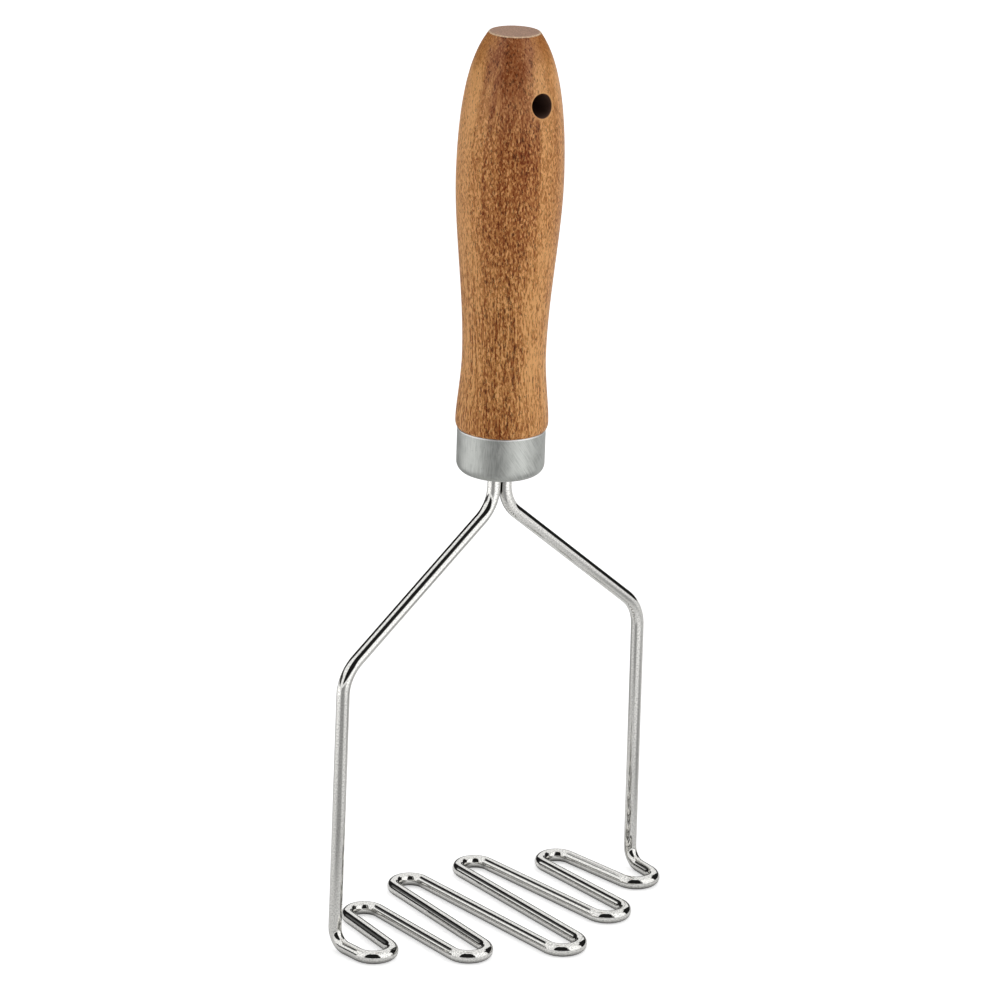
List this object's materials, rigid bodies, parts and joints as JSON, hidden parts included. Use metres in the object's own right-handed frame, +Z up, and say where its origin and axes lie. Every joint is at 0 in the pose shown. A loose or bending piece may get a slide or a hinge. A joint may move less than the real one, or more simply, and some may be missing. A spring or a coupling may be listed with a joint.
{
  "type": "potato masher",
  "caption": "Potato masher with a serpentine head bent from one steel wire, a steel ferrule and a turned wooden handle with a hang hole.",
  "frame": {"origin": "on the handle's axis, in the plane that the wire head stands on", "axes": "+Z up along the handle; X from one leg to the other; the head reaches further to the front, -Y"},
  "size_m": [0.1182, 0.0744, 0.275],
  "materials": {
    "wire_steel": "polished stainless wire",
    "ferrule_steel": "brushed stainless sheet",
    "handle_wood": "oiled close-grained hardwood",
    "adhesive": "cured epoxy"
  },
  "bodies": {
    "root": {"masher_wire": "wire_steel", "ferrule": "ferrule_steel", "handle": "handle_wood", "tang_adhesive": "adhesive", "ferrule_adhesive": "adhesive"}
  },
  "joints": []
}
